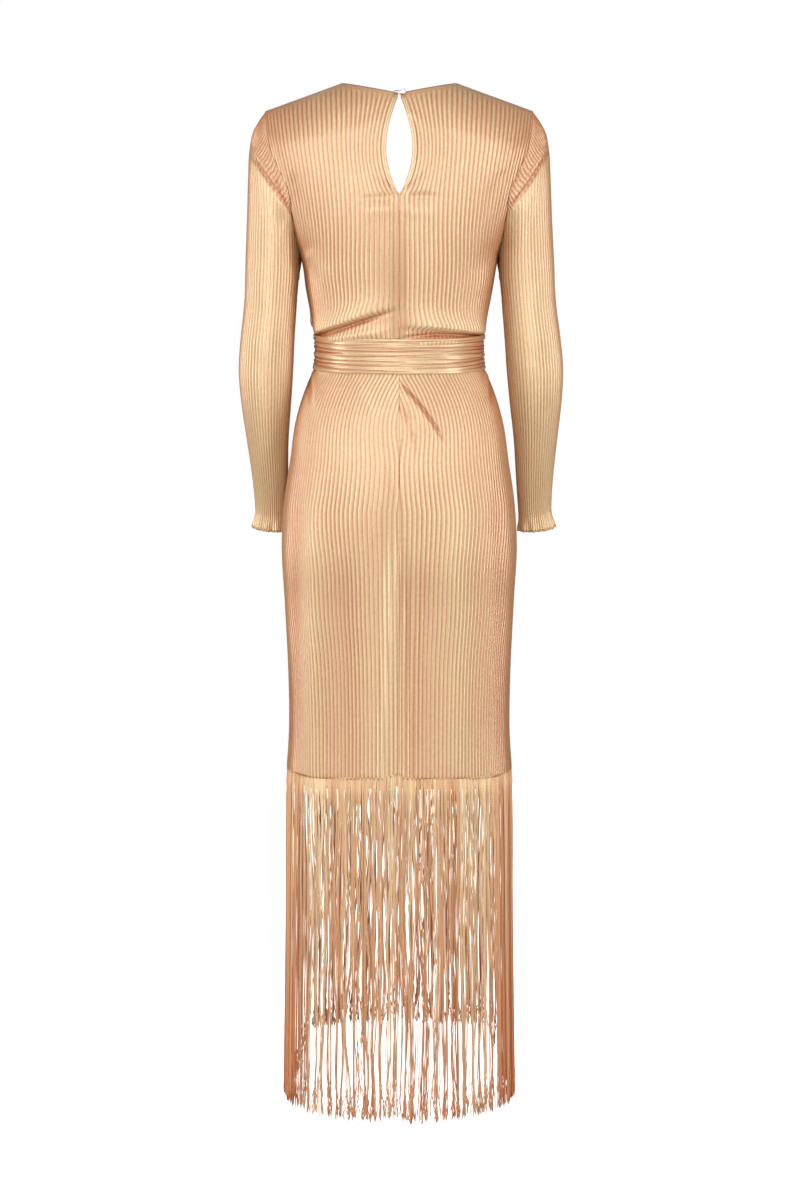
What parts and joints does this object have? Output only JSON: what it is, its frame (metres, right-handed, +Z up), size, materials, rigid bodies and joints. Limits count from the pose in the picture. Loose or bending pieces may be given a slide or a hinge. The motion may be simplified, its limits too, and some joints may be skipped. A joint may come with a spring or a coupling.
{
  "type": "long-sleeved maxi dress with a fringed hem",
  "caption": "Hollow worn form of a long-sleeved pleated maxi dress: V neck, keyhole back with a button, gathered waist sash and long fringe below the hem.",
  "frame": {"origin": "middle of the shoulders at the height of the high shoulder points, where the wearer holds it up", "axes": "+Z up, +Y to the wearer's back, +X to the wearer's left"},
  "size_m": [0.461, 0.2432, 1.491],
  "materials": {
    "pleated_jersey": "fine pleated knit with a champagne metallic sheen",
    "sash_jersey": "the same knit, gathered lengthwise",
    "fringe_strings": "twisted rayon strings with a soft sheen",
    "button_pearl": "domed pearl",
    "loop_cord": "thin thread loop"
  },
  "bodies": {
    "root": {"bodice_back_left": "pleated_jersey", "bodice_back_right": "pleated_jersey", "bodice_front": "pleated_jersey", "sleeve_left": "pleated_jersey", "sleeve_right": "pleated_jersey", "skirt_back_left": "pleated_jersey", "skirt_back_right": "pleated_jersey", "skirt_front": "pleated_jersey", "keyhole_edge_left": "pleated_jersey", "keyhole_edge_right": "pleated_jersey", "waist_sash": "sash_jersey", "fringe_heading_back": "fringe_strings", "fringe_heading_front": "fringe_strings", "fringe_back": "fringe_strings", "fringe_front": "fringe_strings", "keyhole_button": "button_pearl", "button_loop": "loop_cord"}
  },
  "joints": []
}
